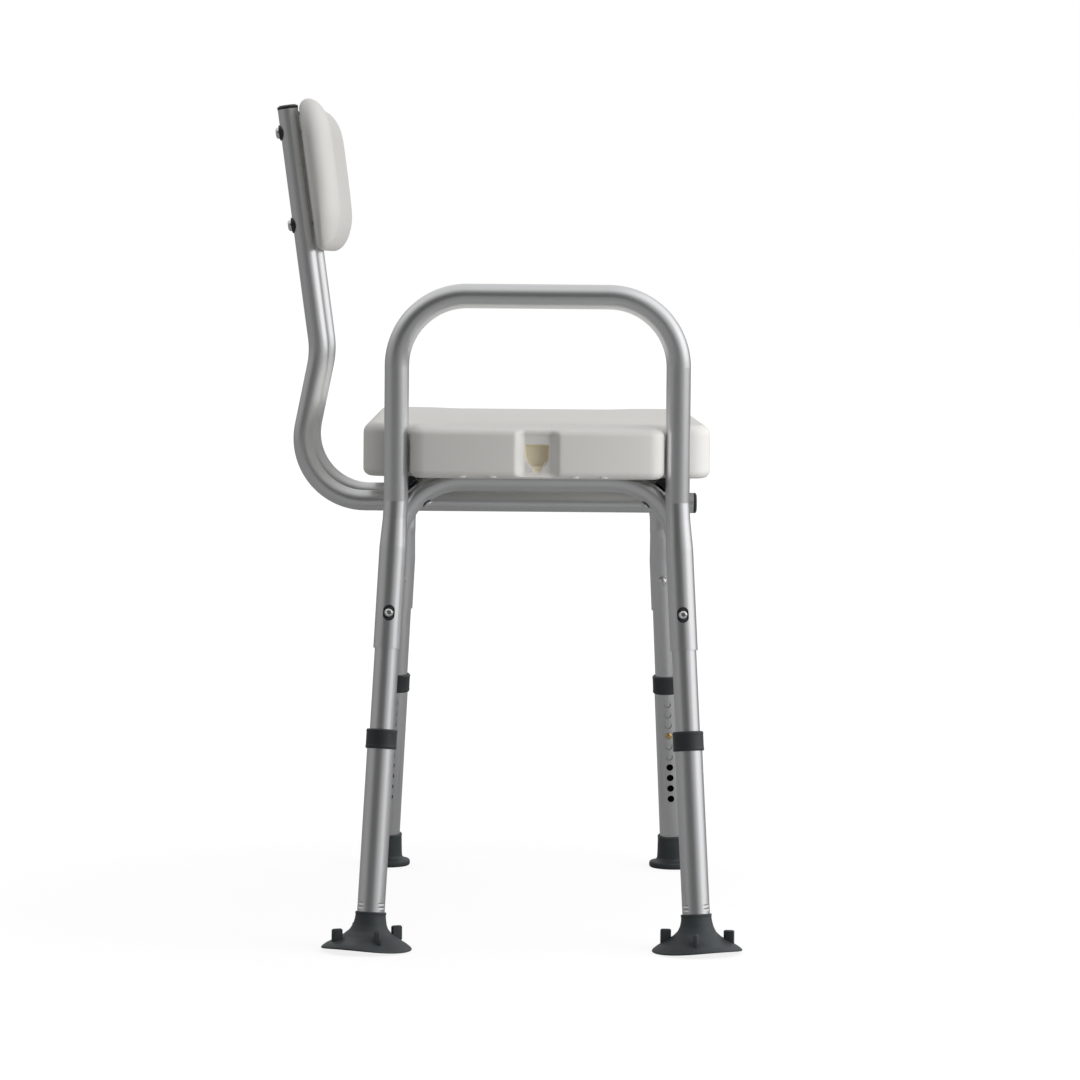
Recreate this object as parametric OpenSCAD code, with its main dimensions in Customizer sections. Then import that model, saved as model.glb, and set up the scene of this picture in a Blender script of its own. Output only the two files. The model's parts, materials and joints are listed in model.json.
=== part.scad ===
/* [Frame] */
// Distance between the two arm legs, centre to centre
arm_width = 293; // [270:1:320]
// Height of the arm tube's centre above the floor
arm_top = 675.5; // [650:0.5:700]
// Outside diameter of the arm, bow and upper leg tubes
tube_d = 25.4; // [22:0.1:26]
// Wall of the frame tubes
tube_wall = 1.5; // [1:0.1:2]
// Centreline radius of the frame bends
bend_r = 73; // [60:1:90]
// Height of both bows' centres above the floor
bow_z = 485; // [480:1:490]
// Spacing of the two end frames at bow height
frame_gap = 520; // [500:1:560]

/* [Legs] */
// Sideways lean of the legs, mm out per mm down
lean_x = 0.0515; // [0.03:0.0005:0.07]
// Lengthways lean of the legs, mm out per mm down
lean_y = 0.129; // [0.08:0.001:0.15]
// Outside diameter of sleeves and lower legs
leg_d = 28.6; // [28.6:0.1:30]
// Pitch of the height adjustment holes
hole_pitch = 12.7; // [12:0.1:14]
// Number of adjustment holes in each lower leg
hole_count = 10; // [6:1:10]
// Hole that the button sits in, counted from the top
hole_used = 4; // [2:1:6]
// Diameter of the suction cups
cup_d = 94; // [80:1:110]
// Diameter of the rubber tips' flange
tip_d = 56; // [50:1:60]

/* [Seat] */
// Overall length of the seat
seat_length = 660; // [620:5:700]
// Width of the seat
seat_width = 364; // [340:2:400]
// Height of the seat's top above the floor
seat_top = 543; // [540:1:550]
// Height of the seat's lower edge above the floor
seat_bottom = 486.5; // [484:0.5:488]
// Width of the seat's nose between the arm legs
nose_width = 265; // [240:1:266]
// Length of the nose past the seat's shoulders
nose_length = 40; // [30:1:50]
// Thickness of the seat's walls
seat_wall = 3.5; // [3:0.5:5]

/* [Back] */
// Outside diameter of the back tubes and rails
back_d = 22.2; // [20:0.1:24]
// Spacing of the two back tubes
back_gap = 180; // [150:1:220]
// Height of the back tubes' run under the seat
run_z = 451; // [445:1:455]
// Length of the backrest
back_length = 410; // [360:5:440]
// Height of the backrest along its slope
back_height = 163; // [150:1:180]
// Thickness of the backrest
back_thick = 30; // [26:1:38]
// How far the backrest's ends curve forward
back_curve = 9; // [6:1:14]

/* [Hidden] */

$fn = 48;
eps = 0.05;
// the frame stands this far from the origin, which is at the middle of the whole bench
frame_x = 34.33;
frame_y = -5.15;
tube_r = tube_d / 2;
leg_r = leg_d / 2;
back_r = back_d / 2;
bore_r = tube_r - tube_wall;
fit = 0.08;
near_y = -frame_gap / 2;
far_y = frame_gap / 2 + 2;
half = arm_width / 2;

// legs: a line from the foot point on the floor up to the frame
lean_len = sqrt(1 + lean_x * lean_x + lean_y * lean_y);
kink_near = bow_z - 20.5 - 3;
bow_bend_z = bow_z - bend_r;
kink_far = bow_bend_z - 8;
// bends are drawn this much fatter so that straight runs end cleanly inside them
over = 0.03;
dip = 0.5;
foot_x = half + lean_x * kink_near;
foot_y_near = near_y - lean_y * kink_near;
foot_y_far = far_y + lean_y * kink_far;
far_half = foot_x - lean_x * kink_far;
tilt_a = -asin(lean_y / lean_len);
tilt_b = -atan(lean_x);
sleeve_end = 312.5;
sleeve_start = sleeve_end + 105;
sleeve_start_far = sleeve_end + 58;
upper_top = sleeve_end + 56;
bolt_t = 349;
collar_top = 228.5;
collar_h = 20.4;
collar_r = 16.2;
lower_top = collar_top - 2.2;
first_hole = collar_top - collar_h - 11.8;
button_t = first_hole - (hole_used - 1) * hole_pitch;
upper_end = button_t - 2.5 * hole_pitch;
// collars, holes and buttons of the far legs sit a little higher
far_up = 4.5;
lower_end = 14;
hole_r = 4;
button_r = 3.8;
button_out = leg_r + 2.6;
button_travel = 4.4;

// bow, rails and seat
bow_y = near_y + 30.3;
far_bow_half = far_half;
shoulder = 51;
rail_off = bend_r + tube_r + back_r + 1.6;
rail_x = far_half - bend_r + rail_off * cos(shoulder);
rail_z = bow_z - bend_r + rail_off * sin(shoulder);
seat_y0 = near_y - 25;
seat_y1 = seat_y0 + seat_length;
wide_y0 = seat_y0 + nose_length;
wide_y1 = seat_y1 - nose_length;
rail_y0 = wide_y0 + seat_wall + 1;
rail_y1 = wide_y1 - seat_wall - 1;
rail_top = rail_z + back_r;
seat_mid = (seat_y0 + seat_y1) / 2;

// back tubes, side view
back_y = [seat_mid - back_gap / 2, seat_mid + back_gap / 2];
low_lean = atan(0.1995);
up_lean = atan(0.138);
corner_x = -268.1;
knee_x = -235.9;
knee_z = run_z + (knee_x - corner_x) / tan(low_lean);
run_front = 173;
back_bend = 67.5;
knee_bend = 90;
cap_z = 880;
top_z = cap_z - 4;
pad_z = (cap_z + 5) - back_height / 2 * cos(up_lean) - 3;
// the pad's rear stands this far behind the tubes' front, so the tubes lie in shallow channels
pad_sunk = 4.8;

// ---- helpers ----
module at_frame() translate([frame_x, frame_y, 0]) children();

// copies a front near piece to one of the four quarters
module quarter(sx, sy) mirror([sx < 0 ? 1 : 0, 0, 0]) mirror([0, sy > 0 ? 1 : 0, 0]) children();

// local Z runs up the leg's line and starts at the floor point
module leg_line(far)
  translate([foot_x, far ? -foot_y_far : foot_y_near, 0])
    rotate([tilt_a, tilt_b, 0])
      children();

module leg_at(sx, sy) at_frame() quarter(sx, sy) leg_line(sy > 0) children();

module rod(p, q, r) {
  d = q - p;
  len = norm(d);
  translate(p) rotate([0, acos(d[2] / len), atan2(d[1], d[0])]) cylinder(h = len, r = r);
}

// part of a ring in the XZ plane
module arc_xz(cx, cz, r, a0, a1, w)
  translate([cx, 0, cz])
    rotate([90, 0, 0])
      rotate([0, 0, a0])
        rotate_extrude(angle = a1 - a0)
          translate([r, 0])
            circle(w);

module ring(h, ro, ri) difference() {
  cylinder(h = h, r = ro);
  translate([0, 0, -1]) cylinder(h = h + 2, r = ri);
}

module round_rect(w, h, r) {
  square([w - 2 * r, h], center = true);
  square([w, h - 2 * r], center = true);
  for (i = [-1, 1], j = [-1, 1])
    translate([i * (w / 2 - r), j * (h / 2 - r)]) circle(r);
}

// screw with a domed head, head underside at z = 0, shank downwards
module screw(head_r, head_h, shank_r, shank_l) {
  intersection() {
    cylinder(h = head_h, r = head_r);
    translate([0, 0, head_h - head_r * 1.6]) sphere(r = head_r * 1.6);
  }
  translate([0, 0, -shank_l]) cylinder(h = shank_l + eps, r = shank_r);
}

// ---- end frames ----
// outer or inner run of one sleeve, from its end up to the kink
module sleeve_run(far, grow, kink) {
  t_kink = kink * lean_len;
  start = far ? sleeve_start_far : sleeve_start;
  leg_line(far) {
    translate([0, 0, sleeve_end - (grow ? 0 : 1)])
      cylinder(h = start - sleeve_end + (grow ? 0 : 1), r = grow ? leg_r : tube_r + fit);
    translate([0, 0, start])
      cylinder(h = 30, r1 = grow ? leg_r : tube_r + fit, r2 = grow ? tube_r : bore_r);
    translate([0, 0, start + 30])
      cylinder(h = t_kink - start - 30, r = grow ? tube_r : bore_r);
  }
}

module sleeve_cuts(far) leg_line(far) {
  // oval access hole for the bolt's head, and the bolt's hole opposite
  for (dz = [-2.5, 2.5])
    translate([0, 0, bolt_t + dz]) rotate([90, 0, 0]) cylinder(h = 20, r = 6);
  translate([-6, -20, bolt_t - 2.5]) cube([12, 20, 5]);
  translate([0, 0, bolt_t]) rotate([-90, 0, 0]) cylinder(h = 20, r = 2.6);
}

module arm_path(r, grow) {
  arm_bend_z = arm_top - bend_r;
  for (sx = [-1, 1]) quarter(sx, -1) {
    sleeve_run(false, grow, kink_near);
    translate([half, near_y, kink_near]) sphere(r = r + over);
    translate([half, near_y, kink_near]) cylinder(h = arm_bend_z - kink_near + dip, r = r);
    translate([0, near_y, 0]) arc_xz(half - bend_r, arm_bend_z, bend_r, 0, 90, r + over);
  }
  translate([-(half - bend_r) - dip, near_y, arm_top])
    rotate([0, 90, 0]) cylinder(h = 2 * (half - bend_r + dip), r = r);
}

module arm_frame() color("silver") at_frame() difference() {
  arm_path(tube_r, true);
  arm_path(bore_r, false);
  for (sx = [-1, 1]) quarter(sx, -1) sleeve_cuts(false);
  for (sx = [-1, 1]) quarter(sx, -1) bow_bolt_hole();
}

module far_path(r, grow) {
  for (sx = [-1, 1]) quarter(sx, 1) {
    sleeve_run(true, grow, kink_far);
    translate([far_half, -far_y, kink_far]) sphere(r = r + over);
    translate([far_half, -far_y, kink_far]) cylinder(h = bow_bend_z - kink_far + dip, r = r);
    translate([0, -far_y, 0]) arc_xz(far_half - bend_r, bow_bend_z, bend_r, 0, 90, r + over);
  }
  translate([-(far_half - bend_r) - dip, far_y, bow_z])
    rotate([0, 90, 0]) cylinder(h = 2 * (far_half - bend_r + dip), r = r);
}

module far_leg_frame() color("silver") at_frame() difference() {
  far_path(tube_r, true);
  far_path(bore_r, false);
  for (sx = [-1, 1]) quarter(sx, 1) sleeve_cuts(true);
  for (sx = [-1, 1]) rail_bolt_hole(sx, 1);
}

// the near bow stands just behind the arm legs and follows their lean
bow_leg_t = sleeve_start - 62;
bow_bolt_t = sleeve_start - 40;
module bow_leg(r, extra) {
  t_kink = kink_far * lean_len;
  translate([0, bow_y - near_y, 0])
    leg_line(false)
      translate([0, 0, bow_leg_t - extra])
        cylinder(h = t_kink - bow_leg_t + extra, r = r);
}

bow_kink = [foot_x - lean_x * kink_far, foot_y_near + lean_y * kink_far + bow_y - near_y];
module bow_path(r, extra) {
  for (sx = [-1, 1]) quarter(sx, -1) {
    bow_leg(r, extra);
    translate([bow_kink[0], bow_kink[1], kink_far]) sphere(r = r + over);
    translate([bow_kink[0], bow_kink[1], kink_far]) cylinder(h = bow_bend_z - kink_far + dip, r = r);
    translate([0, bow_kink[1], 0]) arc_xz(bow_kink[0] - bend_r, bow_bend_z, bend_r, 0, 90, r + over);
  }
  translate([-(bow_kink[0] - bend_r) - dip, bow_kink[1], bow_z])
    rotate([0, 90, 0]) cylinder(h = 2 * (bow_kink[0] - bend_r + dip), r = r);
}

module bow_bolt_hole() leg_line(false)
  translate([0, 4, bow_bolt_t]) rotate([-90, 0, 0]) cylinder(h = 60, r = 3.1);

module near_bow() color("silver") at_frame() difference() {
  bow_path(tube_r, 0);
  bow_path(bore_r, 1);
  for (sx = [-1, 1]) quarter(sx, -1) bow_bolt_hole();
  for (sx = [-1, 1]) rail_bolt_hole(sx, -1);
}

module bow_plugs() color("dimgray") at_frame()
  for (sx = [-1, 1]) quarter(sx, -1)
    translate([0, bow_y - near_y, 0]) leg_line(false) translate([0, 0, bow_leg_t - 3]) {
      cylinder(h = 3 - eps / 5, r = tube_r);
      translate([0, 0, 2]) cylinder(h = 12, r = bore_r - 0.02);
    }

// bolt from the inner side through the bow's leg into a nut inside the sleeve
module bow_bolts() color("gainsboro") at_frame()
  for (sx = [-1, 1]) quarter(sx, -1) leg_line(false)
    translate([0, bow_y - near_y + tube_r, bow_bolt_t])
      rotate([-90, 0, 0]) screw(6, 3.6, 2.95, 38);

module bow_nuts() color("gainsboro") at_frame()
  for (sx = [-1, 1]) quarter(sx, -1) leg_line(false)
    translate([0, 3, bow_bolt_t])
      rotate([-90, 0, 0]) difference() {
        cylinder(h = 5, r = 6.2, $fn = 6);
        translate([0, 0, -1]) cylinder(h = 7, r = 2.98);
      }

// ---- rails ----
// line through a bow's shoulder and the rail above it
module shoulder_at(sx, sy) {
  x0 = sy < 0 ? bow_kink[0] - bend_r : far_half - bend_r;
  y0 = sy < 0 ? bow_kink[1] : far_y;
  quarter(sx, -1)
    translate([x0, y0, bow_bend_z])
      rotate([0, 90 - (atan2(rail_z - bow_bend_z, rail_x - x0)), 0])
        children();
}

function shoulder_len(sy) = norm([
  rail_x - (sy < 0 ? bow_kink[0] - bend_r : far_half - bend_r), rail_z - bow_bend_z
]);

module rail_bolt_hole(sx, sy) shoulder_at(sx, sy) cylinder(h = 140, r = 2.55);

module rail(sx) at_frame() difference() {
  translate([sx * rail_x, rail_y0, rail_z]) rotate([-90, 0, 0]) ring(rail_y1 - rail_y0, back_r, back_r - tube_wall);
  for (sy = [-1, 1]) rail_bolt_hole(sx, sy);
  for (y = back_y) translate([sx * rail_x, y, run_z]) cylinder(h = 80, r = 3.05);
  for (y = screw_rows) translate([sx * rail_x, y, run_z]) cylinder(h = 80, r = 2.3);
}

module front_rail() color("silver") rail(1);
module rear_rail() color("silver") rail(-1);

module rail_caps() color("dimgray") at_frame()
  for (sx = [-1, 1], end = [0, 1]) difference() {
    translate([sx * rail_x, end ? rail_y1 : rail_y0, rail_z])
      rotate([end ? -90 : 90, 0, 0]) {
        cylinder(h = 0.9, r = back_r);
        translate([0, 0, -10]) cylinder(h = 10.5, r = back_r - tube_wall - 0.02);
      }
    rail_bolt_hole(sx, -1);
  }

// block that fills the space between a bow's shoulder and the rail
module rail_saddles() color("dimgray") at_frame()
  for (sx = [-1, 1], sy = [-1, 1]) shoulder_at(sx, sy) difference() {
    translate([-7, -8, bend_r + tube_r + over + 0.02])
      cube([14, 16, shoulder_len(sy) - bend_r - tube_r - back_r + 3]);
    translate([0, -20, shoulder_len(sy)]) rotate([-90, 0, 0]) cylinder(h = 40, r = back_r + 0.02);
    cylinder(h = 140, r = 2.55);
  }

// the heads sit just clear of the bends' inner side
module rail_bolts() color("gainsboro") at_frame()
  for (sx = [-1, 1], sy = [-1, 1]) shoulder_at(sx, sy)
    rotate([180, 0, 0])
      translate([0, 0, -(bend_r - tube_r - 0.36)])
        screw(6, 3.4, 2.48, shoulder_len(sy) - bend_r + tube_r + 6);

// ---- seat ----
screw_rows = [wide_y0 + 120, seat_mid, wide_y1 - 120];
seat_fillet = 9;
module seat_block(x, y0, y1, r) hull() {
  for (i = [-1, 1], y = [y0 + r, y1 - r]) {
    translate([i * (x - r), y, seat_bottom]) cylinder(h = 1, r = r - 1.5, $fn = 32);
    translate([i * (x - r), y, seat_bottom + 1.5]) cylinder(h = 1, r = r, $fn = 32);
    translate([i * (x - r), y, seat_top - seat_fillet]) cylinder(h = 0.5, r = r, $fn = 32);
    translate([i * (x - r), y, seat_top - seat_fillet * 0.62]) cylinder(h = 0.1, r = r - 0.7, $fn = 32);
    translate([i * (x - r), y, seat_top - seat_fillet * 0.29]) cylinder(h = 0.1, r = r - 2.7, $fn = 32);
    translate([i * (x - r), y, seat_top - seat_fillet * 0.08]) cylinder(h = 0.1, r = r - 5.5, $fn = 32);
    translate([i * (x - r), y, seat_top - 0.1]) cylinder(h = 0.1, r = r - 9, $fn = 32);
  }
}

module plan_block(x, y0, y1, r, z, h) translate([0, (y0 + y1) / 2, z])
  linear_extrude(h) round_rect(2 * x, y1 - y0, r);

notch_w = 24;
notch_z = [seat_bottom + 9, seat_bottom + 37];
module seat_inside(z0, z1) {
  plan_block(seat_width / 2 - seat_wall, wide_y0 + seat_wall, wide_y1 - seat_wall, 20, z0, z1 - z0);
  plan_block(nose_width / 2 - seat_wall, seat_y0 + seat_wall, seat_y1 - seat_wall, 10, z0, z1 - z0);
}

// room for the rails and the two bows under the seat, and for the plastic around it
module channels(more) {
  for (sx = [-1, 1])
    translate([sx * rail_x - 14 - more, -500, 0]) cube([28 + 2 * more, 1000, rail_top + more]);
  for (y = [bow_y - 26, far_y - 16])
    translate([-300, y - more, 0]) cube([600, 42 + 2 * more, rail_top + more]);
}

module seat() color("gainsboro") at_frame() difference() {
  union() {
    difference() {
      union() {
        seat_block(seat_width / 2, wide_y0, wide_y1, 24);
        seat_block(nose_width / 2, seat_y0, seat_y1, 14);
      }
      // the channels of the underside
      intersection() {
        seat_inside(seat_bottom - 1, rail_top);
        channels(0);
      }
      // the sealed hollow
      difference() {
        seat_inside(seat_bottom + seat_wall, seat_top - 4.5);
        channels(seat_wall);
      }
    }
    // bosses for the screws from the rails
    for (sx = [-1, 1], y = screw_rows)
      translate([sx * rail_x, y, rail_top + 1]) cylinder(h = seat_top - rail_top - 3, r = 8);
    // pocket behind the grip notch of each nose
    for (end = [0, 1])
      translate([-notch_w / 2 - 4, end ? seat_y1 - 34 : seat_y0 + 2, bow_z + tube_r + 3])
        cube([notch_w + 8, 32, seat_top - bow_z - tube_r - 5]);
    for (end = [0, 1])
      translate([-notch_w / 2 - 4, end ? seat_y1 - 14 : seat_y0 + 2, seat_bottom + 3])
        cube([notch_w + 8, 12, 30]);
  }
  // flared mouth and straight pocket of the notch
  for (end = [0, 1]) {
    y = end ? seat_y1 : seat_y0;
    s = end ? -1 : 1;
    translate([-notch_w / 2, min(y - s, y + s * 10), notch_z[0]])
      cube([notch_w, 11, notch_z[1] - notch_z[0]]);
    translate([-notch_w / 2, min(y - s, y + s * 30), bow_z + tube_r + 6])
      cube([notch_w, 31, notch_z[1] - bow_z - tube_r - 6]);
    translate([-22, min(y - s, y + s * 2.5), notch_z[0] - 3])
      cube([44, 3.5, notch_z[1] - notch_z[0] + 6]);
  }
  for (sx = [-1, 1], y = screw_rows)
    translate([sx * rail_x, y, rail_z]) cylinder(h = back_r + 14, r = 2.25);
}

module seat_screws() color("gainsboro") at_frame()
  for (sx = [-1, 1], y = screw_rows)
    translate([sx * rail_x, y, rail_z - back_r])
      rotate([180, 0, 0]) screw(5, 3, 2.2, 2 * back_r + 12);

// ---- back tubes ----
function lean_pt(a, x, z, l) = [x + l * sin(a), 0, z + l * cos(a)];
turn_low = 90 + low_lean;
tan_low = back_bend * tan(turn_low / 2);
turn_knee = low_lean + up_lean;
tan_knee = knee_bend * tan(turn_knee / 2);
// the straight run starts on a round figure, so that it meets its bend exactly
run_start = round((corner_x + tan_low) * 100) / 100;
corner_c = [run_start, run_z + back_bend];
knee_a = lean_pt(low_lean, knee_x, knee_z, -tan_knee);
knee_b = lean_pt(-up_lean, knee_x, knee_z, tan_knee);
knee_c = [knee_a[0] - knee_bend * cos(low_lean), knee_a[2] + knee_bend * sin(low_lean)];
back_top = lean_pt(-up_lean, knee_x, knee_z, (top_z - knee_z) / cos(up_lean));

module back_path(r, extra) {
  low_end = corner_c + back_bend * [-cos(low_lean), sin(low_lean)];
  translate([run_start, 0, run_z]) rotate([0, 90, 0]) cylinder(h = run_front - run_start + extra, r = r);
  arc_xz(corner_c[0], corner_c[1], back_bend, 270, 180 - low_lean, r);
  rod([low_end[0], 0, low_end[1]], knee_a, r);
  arc_xz(knee_c[0], knee_c[1], knee_bend, -low_lean, up_lean, r);
  rod(knee_b, lean_pt(-up_lean, back_top[0], back_top[2], extra), r);
  for (p = [[low_end[0], 0, low_end[1]], knee_a, knee_b])
    translate(p) sphere(r = r + over);
}

// local Z points out of the rear of the tube, at height z on its upper part
module back_rear(z) {
  l = (z - knee_z) / cos(up_lean);
  p = lean_pt(-up_lean, knee_x, knee_z, l);
  translate(p) rotate([0, -90 - up_lean, 0]) children();
}

screw_z = [751.5, 851.5];
module back_tube(i) at_frame() translate([0, back_y[i], 0]) difference() {
  back_path(back_r, 0);
  back_path(back_r - tube_wall, 1);
  for (sx = [-1, 1]) translate([sx * rail_x, 0, run_z - 40]) cylinder(h = 80, r = 3.05);
  for (z = screw_z) back_rear(z) translate([0, 0, -30]) cylinder(h = 60, r = 2.55);
}

module back_tube_near() color("silver") back_tube(0);
module back_tube_far() color("silver") back_tube(1);

module back_saddles() color("dimgray") at_frame()
  for (sx = [-1, 1], y = back_y)
    translate([sx * rail_x, y, 0]) difference() {
      translate([-13, -13, run_z + back_r - 5])
        cube([26, 26, rail_z - back_r - run_z - back_r + 10]);
      translate([-20, 0, run_z]) rotate([0, 90, 0]) cylinder(h = 40, r = back_r + 0.02);
      translate([0, -20, rail_z]) rotate([-90, 0, 0]) cylinder(h = 40, r = back_r + 0.02);
      translate([0, 0, run_z]) cylinder(h = 60, r = 3.05);
    }

module back_bolts() color("gainsboro") at_frame()
  for (sx = [-1, 1], y = back_y)
    translate([sx * rail_x, y, run_z - back_r])
      rotate([180, 0, 0]) screw(6, 3.6, 2.98, rail_z - run_z + back_r + 4);

module front_caps() color("dimgray") at_frame()
  for (y = back_y) translate([run_front, y, run_z]) rotate([0, 90, 0]) {
    cylinder(h = 2.4, r = back_r);
    translate([0, 0, 2.4]) cylinder(h = 1.2, r1 = back_r, r2 = back_r - 2);
    translate([0, 0, -12]) cylinder(h = 12.5, r = back_r - tube_wall - 0.02);
  }

module top_caps() color("dimgray") at_frame()
  for (y = back_y) translate([back_top[0], y, back_top[2]]) rotate([0, -up_lean, 0]) {
    cylinder(h = 2.6, r = back_r + 0.3);
    translate([0, 0, 2.6]) cylinder(h = 1.6, r1 = back_r + 0.3, r2 = back_r - 2.4);
    translate([0, 0, -12]) cylinder(h = 12.5, r = back_r - tube_wall - 0.02);
  }

// ---- backrest ----
arc_r = (back_length * back_length / 4 + back_curve * back_curve) / (2 * back_curve);
arc_half = asin(back_length / 2 / arc_r);
module backrest() color("gainsboro") at_frame() {
  l = (pad_z - knee_z) / cos(up_lean);
  p = lean_pt(-up_lean, knee_x, knee_z, l);
  difference() {
    translate([p[0], seat_mid, p[2]])
      rotate([0, -up_lean, 0])
        translate([back_r - pad_sunk + arc_r, 0, 0])
          rotate([0, 0, 180 - arc_half])
            rotate_extrude(angle = 2 * arc_half, $fn = 360)
              translate([arc_r - back_thick / 2, 0])
                round_rect(back_thick, back_height, 14, $fn = 48);
    for (y = back_y, z = screw_z)
      translate([0, y, 0]) back_rear(z) translate([0, 0, -40]) cylinder(h = 40, r = 2.55);
    for (y = back_y) translate([0, y, 0])
      rod(knee_b, lean_pt(-up_lean, back_top[0], back_top[2], 30), back_r + 0.35);
  }
}

module backrest_screws() color("gainsboro") at_frame()
  for (y = back_y, z = screw_z)
    translate([0, y, 0]) back_rear(z) translate([0, 0, back_r + 1.3]) screw(6.3, 4.4, 2.5, 46);

module saddle_washers() color("gainsboro") at_frame()
  for (y = back_y, z = screw_z)
    translate([0, y, 0]) back_rear(z) difference() {
      translate([0, 0, back_r - 3]) cylinder(h = 4.3, r = 8.4);
      translate([-20, 0, 0]) rotate([0, 90, 0]) cylinder(h = 40, r = back_r + 0.02);
      cylinder(h = 40, r = 2.55);
    }

// ---- legs ----
function up(sy) = sy > 0 ? far_up : 0;

// the adjustment holes of every leg face the bench's middle
module upper_leg(sx, sy) color("lightgray") leg_at(sx, sy) difference() {
  translate([0, 0, upper_end + up(sy)]) ring(upper_top - upper_end - up(sy), tube_r, bore_r);
  translate([0, -20, bolt_t]) rotate([-90, 0, 0]) cylinder(h = 40, r = 2.6);
  translate([0, 0, button_t + up(sy)]) rotate([-90, 0, 0]) cylinder(h = 20, r = hole_r);
}

module lower_leg(sx, sy) color("silver") leg_at(sx, sy) difference() {
  translate([0, 0, lower_end]) ring(lower_top - lower_end + up(sy), leg_r, tube_r + fit);
  for (i = [0 : hole_count - 1])
    translate([0, 0, first_hole + up(sy) - i * hole_pitch]) rotate([-90, 0, 0]) cylinder(h = 20, r = hole_r);
  // crimps that hold the foot
  for (a = [-41, -139], dz = [0, 4])
    rotate([0, 0, a]) translate([leg_r + 1, -5, 44 + dz]) rotate([-90, 0, 0]) cylinder(h = 10, r = 1.8);
}

module collar(sx, sy) color("dimgray") leg_at(sx, sy) difference() {
  translate([0, 0, collar_top - collar_h + up(sy)]) union() {
    cylinder(h = 1, r1 = collar_r - 0.8, r2 = collar_r);
    translate([0, 0, 1]) cylinder(h = collar_h - 2.4, r = collar_r);
    translate([0, 0, collar_h - 1.4]) cylinder(h = 1.4, r1 = collar_r, r2 = collar_r - 1.2);
  }
  translate([0, 0, collar_top - collar_h - 1 + up(sy)]) cylinder(h = lower_top - collar_top + collar_h + 1, r = leg_r);
  translate([0, 0, lower_top - 1]) cylinder(h = 10, r = tube_r + fit);
}

module button(sx, sy) color("goldenrod") leg_at(sx, sy)
  translate([0, 0, button_t + up(sy)]) rotate([-90, 0, 0]) {
    translate([0, 0, 9.6]) cylinder(h = button_out - 9.6 - 1.6, r = button_r);
    translate([0, 0, button_out - 1.6]) cylinder(h = 1.6, r1 = button_r, r2 = button_r - 1.5);
    intersection() {
      translate([0, 0, 8.4]) cylinder(h = 1.2, r = 4.6);
      rotate([90, 0, 0]) translate([0, 0, -20]) cylinder(h = 40, r = bore_r - 0.4);
    }
  }

// bent leaf behind the button, across the tube's bore
module spring(sx, sy) color("slategray") leg_at(sx, sy)
  translate([-3, 0, button_t + up(sy)]) rotate([0, 90, 0]) linear_extrude(6) {
    translate([0, -1.15]) difference() {
      circle(9.5);
      circle(8.7);
      translate([0, -15]) square([20, 30]);
    }
  }

module leg_bolts() color("gainsboro")
  for (sx = [-1, 1], sy = [-1, 1]) leg_at(sx, sy)
    translate([0, -tube_r, bolt_t]) rotate([90, 0, 0]) screw(4.8, 3.4, 2.5, 33);

module leg_nuts() color("gainsboro")
  for (sx = [-1, 1], sy = [-1, 1]) leg_at(sx, sy)
    translate([0, leg_r - 0.35, bolt_t]) rotate([-90, 0, 0]) difference() {
      union() {
        cylinder(h = 1.2, r = 6);
        translate([0, 0, 1]) cylinder(h = 3.8, r = 4.6, $fn = 6);
        translate([0, 0, 4.4]) intersection() {
          sphere(r = 3.9);
          cylinder(h = 5, r = 5);
        }
      }
      translate([0, 0, -3]) cylinder(h = 9.5, r = 2.53);
      translate([0, -0.001, -leg_r + 0.35]) rotate([0, 0, 0]) rotate([90, 0, 0])
        translate([0, 0, -20]) cylinder(h = 40, r = leg_r + 0.01);
    }

// ---- feet ----
module foot_bore(far) leg_line(far) {
  translate([0, 0, lower_end]) cylinder(h = 60, r = leg_r);
}

module suction_foot(sx) color("dimgray") at_frame() quarter(sx, -1) difference() {
  union() {
    translate([foot_x - lean_x * 14, foot_y_near + lean_y * 14, 0]) {
      rotate_extrude() polygon([
        [0, 4.5], [24, 4.5], [36, 1.6], [44.5, 0], [cup_d / 2, 0], [cup_d / 2, 1.4],
        [cup_d / 2 - 4, 5.2], [34, 11.2], [24, 17], [20, 21], [17.6, 26], [16.2, 32], [0, 32]
      ]);
      for (a = [0 : 90 : 270]) rotate([0, 0, a - (sx < 0 ? 22 : 5)])
        translate([27, -2.75, 10]) cube([11.5, 5.5, 13.8]);
    }
    leg_line(false) translate([0, 0, 24]) cylinder(h = 15, r = 15.6);
  }
  foot_bore(false);
}

module suction_foot_front() suction_foot(1);
module suction_foot_rear() suction_foot(-1);

module rubber_tip(sx) color("dimgray") at_frame() quarter(sx, 1) difference() {
  union() {
    translate([foot_x - lean_x * 8, -(foot_y_far - lean_y * 8), 0])
      rotate_extrude() polygon([
        [0, 0], [tip_d / 2 - 2, 0], [tip_d / 2, 1.5], [tip_d / 2, 6.5], [tip_d / 2 - 1.5, 8], [19.5, 10],
        [0, 10]
      ]);
    leg_line(true) translate([0, 0, 8]) cylinder(h = 29, r1 = 18.2, r2 = 16.4);
  }
  foot_bore(true);
}

module rubber_tip_front() rubber_tip(1);
module rubber_tip_rear() rubber_tip(-1);

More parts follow.
